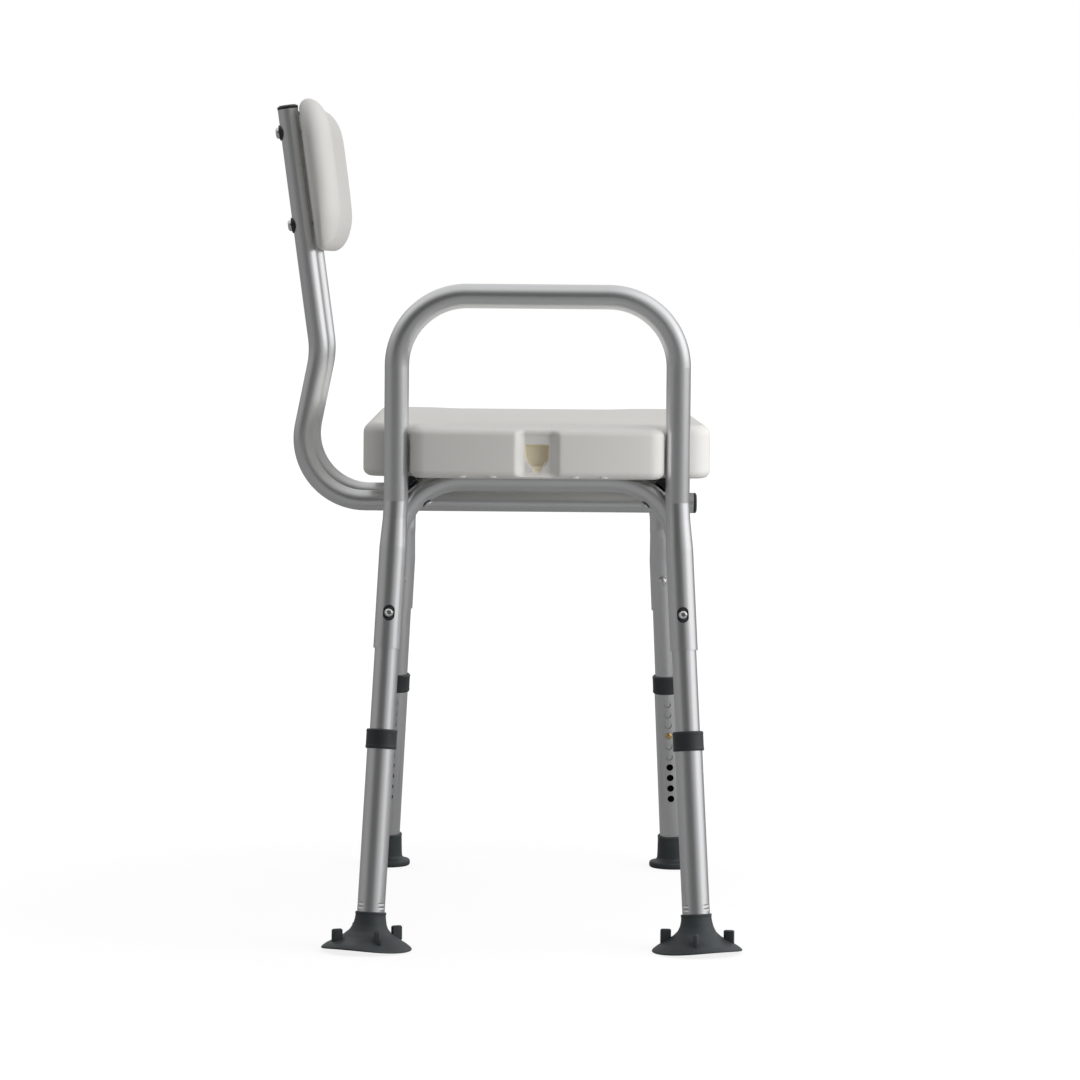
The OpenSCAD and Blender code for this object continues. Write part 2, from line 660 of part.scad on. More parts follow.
arm_frame();
near_bow();
bow_plugs();
bow_bolts();
bow_nuts();
far_leg_frame();
front_rail();
rear_rail();
rail_caps();
rail_saddles();
rail_bolts();
seat();
seat_screws();
back_tube_near();
back_tube_far();
back_saddles();
back_bolts();
front_caps();
top_caps();
backrest();
backrest_screws();
saddle_washers();
upper_leg(1, -1);  // upper_leg_near_front
upper_leg(-1, -1);  // upper_leg_near_rear
upper_leg(1, 1);  // upper_leg_far_front
upper_leg(-1, 1);  // upper_leg_far_rear
lower_leg(1, -1);  // lower_leg_near_front
lower_leg(-1, -1);  // lower_leg_near_rear
lower_leg(1, 1);  // lower_leg_far_front
lower_leg(-1, 1);  // lower_leg_far_rear
collar(1, -1);  // collar_near_front
collar(-1, -1);  // collar_near_rear
collar(1, 1);  // collar_far_front
collar(-1, 1);  // collar_far_rear
button(1, -1);  // button_near_front
button(-1, -1);  // button_near_rear
button(1, 1);  // button_far_front
button(-1, 1);  // button_far_rear
spring(1, -1);  // spring_near_front
spring(-1, -1);  // spring_near_rear
spring(1, 1);  // spring_far_front
spring(-1, 1);  // spring_far_rear
leg_bolts();
leg_nuts();
suction_foot_front();
suction_foot_rear();
rubber_tip_front();
rubber_tip_rear();
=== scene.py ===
import json
import math

import bmesh
import bpy
from mathutils import Euler, Matrix, Vector


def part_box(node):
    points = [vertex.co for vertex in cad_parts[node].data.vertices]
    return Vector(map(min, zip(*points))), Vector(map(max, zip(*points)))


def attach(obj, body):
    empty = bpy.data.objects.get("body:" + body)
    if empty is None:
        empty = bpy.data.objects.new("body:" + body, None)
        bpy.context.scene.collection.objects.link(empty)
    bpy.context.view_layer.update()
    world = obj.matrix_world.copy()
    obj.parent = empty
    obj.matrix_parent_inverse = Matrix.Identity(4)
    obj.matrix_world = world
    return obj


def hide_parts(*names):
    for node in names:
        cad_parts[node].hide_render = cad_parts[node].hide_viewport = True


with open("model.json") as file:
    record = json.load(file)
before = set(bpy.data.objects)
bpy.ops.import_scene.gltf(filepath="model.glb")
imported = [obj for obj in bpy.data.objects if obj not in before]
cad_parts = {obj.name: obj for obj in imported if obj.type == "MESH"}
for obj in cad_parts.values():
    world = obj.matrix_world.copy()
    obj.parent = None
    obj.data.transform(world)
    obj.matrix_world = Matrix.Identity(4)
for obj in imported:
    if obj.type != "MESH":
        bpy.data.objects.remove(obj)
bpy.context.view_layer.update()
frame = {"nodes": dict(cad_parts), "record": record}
nodes = frame["nodes"]
scene = bpy.context.scene
scene.view_settings.view_transform = "Standard"
MM = 0.001


# ---- node helpers ----
class Graph:
    """Small wrapper that builds one node tree."""

    def __init__(self, tree):
        self.tree = tree
        tree.nodes.clear()

    def new(self, kind, inputs=None, **props):
        node = self.tree.nodes.new(kind)
        for key, value in props.items():
            setattr(node, key, value)
        for key, value in (inputs or {}).items():
            if isinstance(value, bpy.types.NodeSocket):
                self.tree.links.new(value, node.inputs[key])
            else:
                node.inputs[key].default_value = value
        return node

    def math(self, op, a, b=0.0, c=0.0):
        return self.new("ShaderNodeMath", {0: a, 1: b, 2: c}, operation=op).outputs[0]

    def dot(self, a, b):
        return self.new("ShaderNodeVectorMath", {0: a, 1: b}, operation="DOT_PRODUCT").outputs["Value"]

    def ramp(self, fac, stops):
        node = self.new("ShaderNodeValToRGB", {"Fac": fac})
        elements = node.color_ramp.elements
        while len(elements) < len(stops):
            elements.new(0.5)
        for element, (at, colour) in zip(elements, stops):
            element.position = at
            element.color = (*colour, 1)
        return node.outputs["Color"]

    def smooth(self, value, low, high, out_low=0.0, out_high=1.0):
        node = self.new("ShaderNodeMapRange", {
            "Value": value, "From Min": low, "From Max": high, "To Min": out_low, "To Max": out_high
        }, interpolation_type="SMOOTHSTEP")
        return node.outputs["Result"]


def material(name):
    mat = bpy.data.materials.new(name)
    mat.use_nodes = True
    g = Graph(mat.node_tree)
    bsdf = g.new("ShaderNodeBsdfPrincipled")
    g.new("ShaderNodeOutputMaterial", {"Surface": bsdf.outputs[0]})
    return mat, g, bsdf


def noise(g, coords, scale, detail):
    return g.new("ShaderNodeTexNoise", {"Vector": coords, "Scale": scale, "Detail": detail}).outputs["Fac"]


def bump(g, bsdf, height, distance, strength):
    node = g.new("ShaderNodeBump", {"Height": height, "Distance": distance, "Strength": strength})
    g.tree.links.new(node.outputs[0], bsdf.inputs["Normal"])


# metres from a lower leg's middle line: painted shade makes the bore dark up to the first, and leaves the wall bright
# from the second
BORE_FULL_SHADE_R, BORE_NO_SHADE_R = 0.0131, 0.0136


def aluminium(name="satin_aluminium", line=None):
    """line is a point and a direction: near that line, inside a tube's wall, the metal is darkened by painted shade.
    """
    mat, g, bsdf = material(name)
    coords = g.new("ShaderNodeTexCoord").outputs["Object"]
    grain = noise(g, coords, 1500, 2)
    cloud = noise(g, coords, 14, 2)
    tint = g.ramp(cloud, [(0.3, (0.765, 0.77, 0.78)), (0.7, (0.785, 0.79, 0.80))])
    if line:
        off = g.new("ShaderNodeVectorMath", {0: coords, 1: line[0]}, operation="SUBTRACT").outputs["Vector"]
        off = g.new("ShaderNodeVectorMath", {0: off, 1: line[1]}, operation="CROSS_PRODUCT").outputs["Vector"]
        off = g.new("ShaderNodeVectorMath", {0: off}, operation="LENGTH").outputs["Value"]
        # painted shade: the base colour inside the bore falls nearly to black
        shade = g.smooth(off, BORE_FULL_SHADE_R, BORE_NO_SHADE_R, 0.02, 1.0)
        tint = g.new("ShaderNodeVectorMath", {0: tint, "Scale": shade}, operation="SCALE").outputs["Vector"]
    g.tree.links.new(tint, bsdf.inputs["Base Color"])
    g.tree.links.new(g.math("MULTIPLY_ADD", grain, 0.05, 0.28), bsdf.inputs["Roughness"])
    bsdf.inputs["Metallic"].default_value = 1.0
    bump(g, bsdf, grain, 0.00001, 0.15)
    return mat


def moulded(name, low, high):
    """Fine-grained matte plastic that drifts between two colours."""
    mat, g, bsdf = material(name)
    coords = g.new("ShaderNodeTexCoord").outputs["Object"]
    grain = noise(g, coords, 1100, 3)
    cloud = noise(g, coords, 9, 2)
    tint = g.ramp(cloud, [(0.3, low), (0.7, high)])
    g.tree.links.new(tint, bsdf.inputs["Base Color"])
    bsdf.inputs["Roughness"].default_value = 0.45
    bump(g, bsdf, grain, 0.00006, 0.25)
    return mat


def dark(name, colour, rough):
    """Dark rubber or plastic."""
    mat, g, bsdf = material(name)
    coords = g.new("ShaderNodeTexCoord").outputs["Object"]
    grain = noise(g, coords, 1600, 2)
    cloud = noise(g, coords, 40, 3)
    low = tuple(c * 0.88 for c in colour)
    high = tuple(c * 1.12 for c in colour)
    g.tree.links.new(g.ramp(cloud, [(0.3, low), (0.7, high)]), bsdf.inputs["Base Color"])
    bsdf.inputs["Roughness"].default_value = rough
    bump(g, bsdf, grain, 0.00004, 0.3)
    return mat


def metal(name, colour, rough):
    """Bare or plated metal of the small parts."""
    mat, g, bsdf = material(name)
    coords = g.new("ShaderNodeTexCoord").outputs["Object"]
    cloud = noise(g, coords, 300, 2)
    low = tuple(c * 0.93 for c in colour)
    g.tree.links.new(g.ramp(cloud, [(0.35, low), (0.65, colour)]), bsdf.inputs["Base Color"])
    g.tree.links.new(g.math("MULTIPLY_ADD", cloud, 0.06, rough - 0.03), bsdf.inputs["Roughness"])
    bsdf.inputs["Metallic"].default_value = 1.0
    return mat


MATS = {
    "aluminium": aluminium(),
    "white_plastic": moulded("seat_plastic", (0.79, 0.78, 0.75), (0.805, 0.795, 0.765)),
    # painted light: brighter and more tan than the seat, for the pocket's faces, which lie in shade
    "pocket": moulded("pocket_painted_light", (0.90, 0.83, 0.66), (0.92, 0.85, 0.68)),
    "grey_rubber": dark("foot_rubber", (0.040, 0.047, 0.050), 0.5),
    "dark_plastic": dark("dark_plastic", (0.030, 0.032, 0.035), 0.4),
    "chrome": metal("chrome", (0.85, 0.85, 0.86), 0.12),
    "brass": metal("brass", (0.80, 0.56, 0.24), 0.22),
    "spring_steel": metal("spring_steel", (0.55, 0.55, 0.56), 0.3),
}
ROWS = {row["node"]: row for row in frame["record"]["subparts"]}
for key, row in ROWS.items():
    data = nodes[key].data
    data.materials.clear()
    data.materials.append(MATS[row["material_slot"]])


# ---- shape helpers, in millimetres ----
def smoothstep(low, high, value):
    t = min(1.0, max(0.0, (value - low) / (high - low)))
    return t * t * (3 - 2 * t)


def middle(key):
    low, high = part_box(key)
    return [(a + b) / 2 / MM for a, b in zip(low, high)]


def edges(key):
    low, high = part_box(key)
    return [c / MM for c in low], [c / MM for c in high]


def soft(points, radius, steps=4):
    """Rounds the inner corners of a profile."""
    out = [Vector(points[0])]
    for a, b, c in zip(points, points[1:], points[2:]):
        a, b, c = Vector(a), Vector(b), Vector(c)
        reach = min(radius, (a - b).length / 2, (c - b).length / 2)
        p, q = b + (a - b).normalized() * reach, b + (c - b).normalized() * reach
        for i in range(steps + 1):
            t = i / steps
            out.append(p * (1 - t) ** 2 + b * 2 * t * (1 - t) + q * t * t)
    out.append(Vector(points[-1]))
    return out


class Shell:
    """Points and faces of one piece; each closed run of points is a ring."""

    def __init__(self):
        self.points = []
        self.faces = []
        self.slots = []
        self.slot = 0

    def ring(self, points):
        start = len(self.points)
        self.points += [Vector(p) for p in points]
        return list(range(start, len(self.points)))

    def face(self, *corners):
        self.faces.append(corners)
        self.slots.append(self.slot)

    def join(self, a, b):
        if len(a) == 1 and len(b) > 1:
            for i in range(len(b)):
                self.face(a[0], b[i - 1], b[i])
        elif len(b) == 1 and len(a) > 1:
            for i in range(len(a)):
                self.face(a[i - 1], b[0], a[i])
        else:
            for i in range(len(a)):
                self.face(a[i - 1], b[i - 1], b[i], a[i])

    def lathe(self, profile, place, segs=48, shape=None):
        """Turns (radius, height) points round the local Z; shape(step, angle, radius) may change a radius."""
        last = None
        for step, (r, z) in enumerate(profile):
            if r < 1e-6:
                ring = self.ring([place @ Vector((0, 0, z))])
            else:
                turn = [2 * math.pi * i / segs for i in range(segs)]
                radii = [shape(step, a, r) if shape else r for a in turn]
                ring = self.ring([place @ Vector((q * math.cos(a), q * math.sin(a), z)) for a, q in zip(turn, radii)])
            if last:
                self.join(last, ring)
            last = ring

    def block(self, low, high, place=None, edge=1.0):
        """A box with chamfered edges."""
        place = place or Matrix.Identity(4)
        mid = [(a + b) / 2 for a, b in zip(low, high)]
        half = [(b - a) / 2 for a, b in zip(low, high)]
        signs = [(-1, -1), (1, -1), (1, 1), (-1, 1)]
        last = None
        for dz, cut in ((-half[2], edge), (-half[2] + edge, 0), (half[2] - edge, 0), (half[2], edge)):
            points = []
            for sx, sy in signs:
                x, y = half[0] - cut, half[1] - cut
                pair = [(x, y - edge), (x - edge, y)]
                if sx * sy < 0:
                    pair.reverse()
                points += [(mid[0] + sx * a, mid[1] + sy * b, mid[2] + dz) for a, b in pair]
            ring = self.ring([place @ Vector(p) for p in points])
            if last:
                self.join(last, ring)
            else:
                self.face(*reversed(ring))
            last = ring
        self.face(*last)

    def make(self, name, slots, stands_for, body="frame", sharp=40):
        """Adds the piece to the scene; slots are names in MATS, and the first is the piece's own."""
        mesh = bpy.data.meshes.new(name)
        mesh.from_pydata([p * MM for p in self.points], [], self.faces)
        for slot in slots:
            mesh.materials.append(MATS[slot])
        mesh.polygons.foreach_set("material_index", self.slots)
        bm = bmesh.new()
        bm.from_mesh(mesh)
        bmesh.ops.remove_doubles(bm, verts=bm.verts, dist=1e-6)
        bmesh.ops.recalc_face_normals(bm, faces=bm.faces)
        bm.to_mesh(mesh)
        bm.free()
        mesh.polygons.foreach_set("use_smooth", [True] * len(mesh.polygons))
        mesh.set_sharp_from_angle(angle=math.radians(sharp))
        mesh.update()
        obj = bpy.data.objects.new(name, mesh)
        scene.collection.objects.link(obj)
        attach(obj, body)
        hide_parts(stands_for)
        return obj


def along(origin, axis):
    """A place whose Z runs along axis."""
    turn = Vector(axis).normalized().to_track_quat("Z", "Y").to_matrix().to_4x4()
    return Matrix.Translation(Vector(origin)) @ turn


# ---- seat ----
SHOULDER = 40       # length of each nose beyond the seat's full width
NOSE = 132.5        # half the width of a nose
SAG = 9             # how far a nose's end falls back at its corners
TOP_EDGE = 44.5     # height in the seat where its top starts to round
MOUTH_DEPTH = 8.5   # of the grip notch
POCKET_DEPTH = 11   # of the narrow pocket behind the notch
NOSE_FALL = 4.6     # how far the top of a nose falls towards its end
CHANNEL = 14        # half the width of a rail's channel
low, high = edges("seat")
seat_mid = middle("seat")
wide = (high[0] - low[0]) / 2
reach = (high[1] - low[1]) / 2
seat_low, seat_high = low[2], high[2]
rail_top = edges("front_rail")[1][2]
rail_off = (middle("front_rail")[0] - middle("rear_rail")[0]) / 2

step_y = reach - SHOULDER
# points along a nose's end, closest together round the notch
NEAR = [0, 1.4, 2.8, 4, 5.2, 6.4, 7.5, 8.5, 9.4, 10.3, 10.9, 11.3, 11.7, 12.1, 12.5, 13, 13.7, 14.6, 15.6, 16.6,
        17.6, 18.6, 19.6, 20.6, 21.6, 22.6, 23.6, 25, 28, 34, 44, 60, 76, 92, 104]
LINE = [-x for x in reversed(NEAR[1:])] + NEAR
# corner x, corner y, radius, outward signs, convex, first and last angle, points along the edge that follows
CORNERS = [
    (-NOSE, -reach, 16, (-1, -1), True, 180, 270, LINE),
    (NOSE, -reach, 16, (1, -1), True, 270, 360, 3),
    (NOSE, -step_y, 8, (1, -1), False, 180, 90, 3),
    (wide, -step_y, 24, (1, -1), True, 270, 360, 12),
    (wide, step_y, 24, (1, 1), True, 0, 90, 3),
    (NOSE, step_y, 8, (1, 1), False, 270, 180, 3),
    (NOSE, reach, 16, (1, 1), True, 0, 90, LINE[::-1]),
    (-NOSE, reach, 16, (-1, 1), True, 90, 180, 3),
    (-NOSE, step_y, 8, (-1, 1), False, 360, 270, 3),
    (-wide, step_y, 24, (-1, 1), True, 90, 180, 12),
    (-wide, -step_y, 24, (-1, -1), True, 180, 270, 3),
    (-NOSE, -step_y, 8, (-1, -1), False, 90, 0, 3),
]


def seat_outline(inset):
    """The seat's plan, moved inward by inset, always with the same number of points."""
    arcs = []
    for x, y, r, (sx, sy), convex, a0, a1, after in CORNERS:
        px, py = x - sx * inset, y - sy * inset
        r = max(r - inset, 2.0) if convex else min(r + inset, 20.0)
        side = -1 if convex else 1
        cx, cy = px + side * sx * r, py + side * sy * r
        arc = []
        for i in range(9):
            a = math.radians(a0 + (a1 - a0) * i / 8)
            arc.append((cx + r * math.cos(a), cy + r * math.sin(a)))
        arcs.append((arc, after))
    points = []
    for i, (arc, after) in enumerate(arcs):
        points += arc
        nxt = arcs[(i + 1) % len(arcs)][0][0]
        if isinstance(after, int):
            for k in range(1, after + 1):
                t = k / (after + 1)
                points.append((arc[-1][0] * (1 - t) + nxt[0] * t, arc[-1][1] * (1 - t) + nxt[1] * t))
        else:
            squeeze = min(1.0, (abs(nxt[0]) - 1) / abs(after[-1]))
            points += [(x * squeeze, arc[-1][1]) for x in after]
    out = []
    for x, y in points:
        part = max(0.0, (abs(y) - step_y + inset) / SHOULDER)
        out.append((x, y - math.copysign(SAG * (x / NOSE) ** 2 * min(1.0, part), y) if part else y))
    return out


def rounding(z):
    """How far up the rounding of the top edge a height is, from 0 to 1."""
    return max(0.0, (z - seat_low - TOP_EDGE) / (seat_high - seat_low - TOP_EDGE))


def pocket_width(z):
    """The pocket narrows downward."""
    return 1 - 0.7 * smoothstep(seat_low + 24, seat_low + 7, z)


def notch(x, z, more):
    """How deep the grip notch is at a point of the nose's face; more widens it for the inner rings."""
    x = abs(x) - more
    mouth = smoothstep(24.5, 12.5, x) * (1 - 0.68 * rounding(z)) * smoothstep(seat_low + 1, seat_low + 7, z)
    narrow = pocket_width(z)
    pocket = smoothstep(12.6 * narrow, 11.2 * narrow, x) * smoothstep(seat_low + 36, seat_low + 34 - more, z)
    pocket *= smoothstep(seat_low + 5.5, seat_low + 13, z)
    return MOUTH_DEPTH * mouth + POCKET_DEPTH * pocket


def seat_ring(shell, inset, z, cut=None):
    """One ring of the shell; cut is how much wider the notches are there, and None leaves them out."""
    points = []
    part = rounding(z)
    for x, y in seat_outline(inset):
        if cut is not None and abs(y) > reach - inset - 1.5 and abs(x) < 32:
            y -= math.copysign(notch(x, z, cut), y)
        # the noses' tops fall a little towards the ends
        fall = 0 if cut else NOSE_FALL * part * smoothstep(reach - 62, reach - 6, abs(y))
        points.append((seat_mid[0] + x, seat_mid[1] + y, z - fall))
    return shell.ring(points)


def seat():
    shell = Shell()
    rings = [seat_ring(shell, 26, rail_top)]
    for z in (0, 1, 4, 7):
        rings.append(seat_ring(shell, 5, rail_top - z, 1.5))
    rings.append(seat_ring(shell, 6.5, seat_low + 4, 1.5))
    rings.append(seat_ring(shell, 8.5, seat_low + 1.2, 1.0))
    edge_in, edge_up, fillet = 9.0, 8, 11.0
    for i in range(9):
        a = math.radians(90 * i / 8)
        rings.append(seat_ring(shell, edge_in * (1 - math.sin(a)), seat_low + edge_up * (1 - math.cos(a)), 0.0))
    for z in (8.6, 9.4, 10.2, 11, 12, 13, 15, 18, 21, 24, 27, 29, 31, 32.5, 33.5, 34.2, 34.8, 35.4, 36, 36.8, 37.6,
              38.5, 39.5, 40.5, 41.5, 42.5, 43.5, TOP_EDGE):
        rings.append(seat_ring(shell, 0, seat_low + z, 0.0))
    for i in range(1, 10):
        a = math.radians(90 * i / 10)
        rings.append(seat_ring(shell, fillet * (1 - math.cos(a)), seat_high - fillet + fillet * math.sin(a), 0.0))
    for inset, dip in ((15, 0.05), (20, 0.25), (26, 0.6), (34, 1.0), (44, 1.25), (54, 1.3)):
        rings.append(seat_ring(shell, inset, seat_high - dip))
    for a, b in zip(rings, rings[1:]):
        shell.join(a, b)
    shell.face(*rings[0])
    shell.face(*rings[-1])
    # the closed underside, in blocks between the channels that clear the rails and bows
    near, far = middle("near_bow")[1] - seat_mid[1], middle("far_leg_frame")[1] - seat_mid[1]
    inner_wide, inner_nose, inner_reach = wide - 4.5, NOSE - 4.5, reach - 4.5 - SAG
    low_y, high_y = near + 20, far - 26
    spans = [(-rail_off + CHANNEL, rail_off - CHANNEL, low_y, high_y)]
    for s in (-1, 1):
        for side_x, y0, y1 in ((inner_wide, low_y, high_y), (inner_wide - 9, far + 16, step_y - 13)):
            spans.append((*sorted((s * (rail_off + CHANNEL), s * side_x)), y0, y1))
    spans.append((-inner_nose, inner_nose, -inner_reach, near - 22))
    spans.append((-inner_nose, inner_nose, far + 16, inner_reach))
    for x0, x1, y0, y1 in spans:
        shell.block((seat_mid[0] + x0, seat_mid[1] + y0, seat_low + 0.6),
                    (seat_mid[0] + x1, seat_mid[1] + y1, rail_top + 0.4), edge=2.0)
    # small tabs along the near nose's lower edge
    for x in (-78, -46.5, -9, 39.5, 69.5):
        y = seat_mid[1] - reach + SAG * (x / NOSE) ** 2 + (MOUTH_DEPTH if abs(x) < 12 else 0) + 1.6
        place = Matrix.Translation((seat_mid[0] + x, y, seat_low + 1.9)) @ Matrix.Diagonal((4.2, 1.5, 1.1, 1))
        shell.lathe([(0, -1), (0.5, -0.86), (0.86, -0.5), (1, 0), (0.86, 0.5), (0.5, 0.86), (0, 1)], place, 20)
    obj = shell.make("seat_shell", ["white_plastic", "pocket"], "seat", sharp=50)
    # the pockets' faces get a brighter, tan colour than the seat: painted light in the shaded pocket
    for face in obj.data.polygons:
        x, y, z = obj.matrix_world @ face.center / MM
        x, y = abs(x - seat_mid[0]), abs(y - seat_mid[1])
        if x < 12.3 * pocket_width(z) and reach - 40 < y < reach - 9.4 and seat_low + 7 < z < seat_low + 36:
            face.material_index = 1


seat()


# ---- backrest ----
def backrest():
    lean = math.atan(0.138)
    half_long, half_tall, corner, curve, thick = 205.0, 81.5, 44.0, 9.0, 30
    curve_r = (half_long ** 2 + curve ** 2) / (2 * curve)
    crown = 3.5     # how far the top edge falls towards its ends
    back_r = 10     # rounding of the rear edge
    tube_y, tube_r, sunk = 90.0, 11.45, 11.1 - 4.8
    near_edge = [0, 0.25, 1.0, 2.2, 3.8, 5.8, 8.2, 11, 14, 17.5, 21.5, 26, 31, 36]
    channel = [tube_y + d for d in (-15, -12.5, -11, -9.8, -8, -5.5, -2.8, 0, 2.8, 5.5, 8, 9.8, 11, 12.5, 15)]
    long_stops = near_edge + [46, 58, 74, 88] + [half_long - x for x in reversed(channel)] + [140, 165, 205]
    tall_stops = near_edge + [46, 62, 81.5]
    xs = [-half_long + d for d in long_stops] + [half_long - d for d in reversed(long_stops[:-1])]
    ws = [-1 + d / half_tall for d in tall_stops] + [1 - d / half_tall for d in reversed(tall_stops[:-1])]
    grid = {}

    def depth(x, y):
        """How far inside the pad's outline a point is."""
        ax, ay = abs(x) - (half_long - corner), abs(y) - (half_tall - corner)
        if ax > 0 and ay > 0:
            return max(0.0, corner - math.hypot(ax, ay))
        return max(0.0, min(half_long - abs(x), half_tall - abs(y)))

    shell = Shell()
    for side in (0, 1):
        for i, x in enumerate(xs):
            bow = max(0.0, abs(x) - (half_long - corner))
            tall = half_tall - corner + math.sqrt(max(0.0, corner ** 2 - bow ** 2))
            for j, w in enumerate(ws):
                y = tall * w
                d = depth(x, y)
                lower = smoothstep(0, -70, y)
                rim = 9 - 4 * lower
                if w > 0:
                    y -= w * crown * (x / half_long) ** 2
                if side:
                    soft_r = 36 + 15 * lower
                    t = rim + (thick - rim) * math.sqrt(max(0.0, 1 - (1 - min(d / soft_r, 1)) ** 2))
                else:
                    t = rim - rim * math.sqrt(max(0.0, 1 - (1 - min(d / back_r, 1)) ** 2))
                if i in (0, len(xs) - 1) or j in (0, len(ws) - 1):
                    t = rim
                turn = x / curve_r
                r = curve_r - t
                front, across = curve_r - r * math.cos(turn), r * math.sin(turn)
                off = abs(abs(across) - tube_y)
                # the rear face has a channel over each tube
                if not side and off < tube_r:
                    front = max(front, math.sqrt(tube_r ** 2 - off ** 2) - sunk)
                # lean the pad backwards: up is (-sin, cos), front is (cos, sin)
                grid[side, i, j] = len(shell.points)
                shell.points.append(Vector((front * math.cos(lean) - y * math.sin(lean), across,
                                            front * math.sin(lean) + y * math.cos(lean))))
    for side in (0, 1):
        for i in range(len(xs) - 1):
            for j in range(len(ws) - 1):
                shell.face(grid[side, i, j], grid[side, i + 1, j], grid[side, i + 1, j + 1], grid[side, i, j + 1])
    low, high = edges("backrest")
    for axis in range(3):
        values = [p[axis] for p in shell.points]
        shift = (low[axis] + high[axis]) / 2 - (min(values) + max(values)) / 2
        for p in shell.points:
            p[axis] += shift
    shell.make("back_pad", ["white_plastic"], "backrest", sharp=60)


backrest()

# ---- feet, collars and buttons ----
LEAN_X, LEAN_Y = 0.0515, 0.129
LEGS = {"near_front": (1, -1), "near_rear": (-1, -1), "far_front": (1, 1), "far_rear": (-1, 1)}


def leg_axis(key):
    """Direction up the leg; it leans towards the middle of the bench."""
    sx, sy = LEGS[key]
    return Vector((-sx * LEAN_X, -sy * LEAN_Y, 1)).normalized()


def inward(key):
    """Direction across the leg, towards the bench's middle."""
    axis, across = leg_axis(key), Vector((0, -LEGS[key][1], 0))
    return (across - axis * axis.dot(across)).normalized()


def foot(key, base, profile, count, pivot, square, shift=0.0, lip=0.0):
    """A profile turned round the middle of a foot, which leans with its leg above pivot.

    Between the two heights of square its rings turn until they're square to the leg. shift moves the cup outward
    under its neck, and lip lifts the cup's rim on the near side.
    """
    sx, sy = LEGS[key]
    out = math.atan2(-1, 0.5 * sx)

    def place(x, y, z):
        up = max(0.0, z - pivot)
        return Vector((base[0] + x - sx * LEAN_X * up, base[1] + y - sy * LEAN_Y * up, z))

    shell = Shell()
    last = None
    for r, z in profile:
        if r < 1e-6:
            ring = shell.ring([place(sx * shift, 0, z)])
        else:
            turned = smoothstep(*square, z)
            points = []
            for i in range(count):
                a = 2 * math.pi * i / count
                away = abs((a - out + math.pi) % (2 * math.pi) - math.pi)
                lift = lip * math.exp(-(away / 1.05) ** 2) * smoothstep(26, 47, r) if z < 20 else 0
                p = place(r * math.cos(a), r * math.sin(a), z + lift)
                p.x += sx * shift * smoothstep(32, 6, z)
                p.z += turned * (r * math.cos(a) * sx * LEAN_X + r * math.sin(a) * sy * LEAN_Y)
                points.append(p)
            ring = shell.ring(points)
        if last:
            shell.join(last, ring)
        last = ring
    return shell


def suction_foot(key, turn, shift=0.0):
    """turn is the angle of the pull tabs; shift moves the cup outward under its neck."""
    node = "suction_foot_" + key.split("_")[1]
    sx = LEGS[key][0]
    base = middle(node)
    profile = soft([(0, 5), (24, 4.8), (36, 2.2), (43.5, 0.2), (46.6, 0.0), (47, 0.8), (46.2, 2.2), (42, 5.6),
                    (33, 11.4), (25, 16.4), (20, 21.2), (17.4, 26.5), (16.1, 32), (15.7, 36.2), (16.1, 37.2),
                    (16.1, 38.7), (15.2, 39.3), (14.35, 39.0), (14.35, 34)], 1.2, 3)
    shell = foot(key, base, profile, 96, 14, (20, 34), shift, 6.0)
    for k in range(4):
        a = math.radians(turn + 90 * k)
        spot = Matrix.Translation((base[0] + sx * shift * 0.85, base[1], 0)) @ Matrix.Rotation(a, 4, "Z")
        shell.block((27.2, -2.6, 8), (38.3, 2.6, 23.6), spot, 1.1)
    shell.make(node + "_rubber", ["grey_rubber"], node, body="leg_" + key, sharp=45)


def rubber_tip(key):
    node = "rubber_tip_" + key.split("_")[1]
    base = middle(node)
    low, high = edges(node)
    # the flange is the widest part, so its centre is half its width from the outer side
    flange_r = 28
    base[0] = high[0] - flange_r if LEGS[key][0] > 0 else low[0] + flange_r
    base[1] = high[1] - flange_r
    profile = soft([(0, 0.4), (20, 0.4), (22, 0), (26.4, 0), (28, 1.6), (28, 5.6), (26.8, 7.4), (20.6, 8.9),
                    (18.6, 11.2), (17.9, 18), (16.7, 36.2), (17.0, 37.2), (17.0, 38.6), (15.6, 39.3),
                    (14.35, 39), (14.35, 32)], 1.0, 3)
    shell = foot(key, base, profile, 72, 8, (12, 28))
    shell.make(node + "_rubber", ["grey_rubber"], node, body="leg_" + key, sharp=45)


def collar(key):
    node = "collar_" + key
    shell = Shell()
    h = 10.2    # half its height
    profile = soft([(14.3, -h + 0.6), (15.2, -h), (15.8, -h), (16.2, -h + 1.2), (16.2, -h + 3), (15.95, -h + 3.6),
                    (15.95, h - 3.4), (16.2, h - 2.8), (16.15, h - 1.2), (15.2, h), (13.6, h), (12.85, h - 0.6),
                    (12.85, h - 2.2), (14.3, h - 2.2), (14.3, -h + 0.6)], 0.5, 3)
    shell.lathe(profile, along(middle(node), leg_axis(key)), 72)
    shell.make(node + "_ring", ["dark_plastic"], node, body="leg_" + key, sharp=50)


def button(key):
    node = "button_" + key
    out = inward(key)
    points = [nodes[node].matrix_world @ v.co / MM for v in nodes[node].data.vertices]
    far = max(p.dot(out) for p in points)
    near = min(p.dot(out) for p in points)
    mid = sum(points, Vector()) / len(points)
    base = mid + out * (near - mid.dot(out))
    length = far - near
    shell = Shell()
    profile = soft([(0, 0), (4.3, 0), (4.3, 1.1), (3.8, 1.25), (3.8, length - 1.9), (3.1, length - 0.6),
                    (1.4, length - 0.05), (0, length)], 0.5, 3)
    shell.lathe(profile, along(base, out), 36)
    shell.make(node + "_pin", ["brass"], node, body="press_" + key, sharp=50)


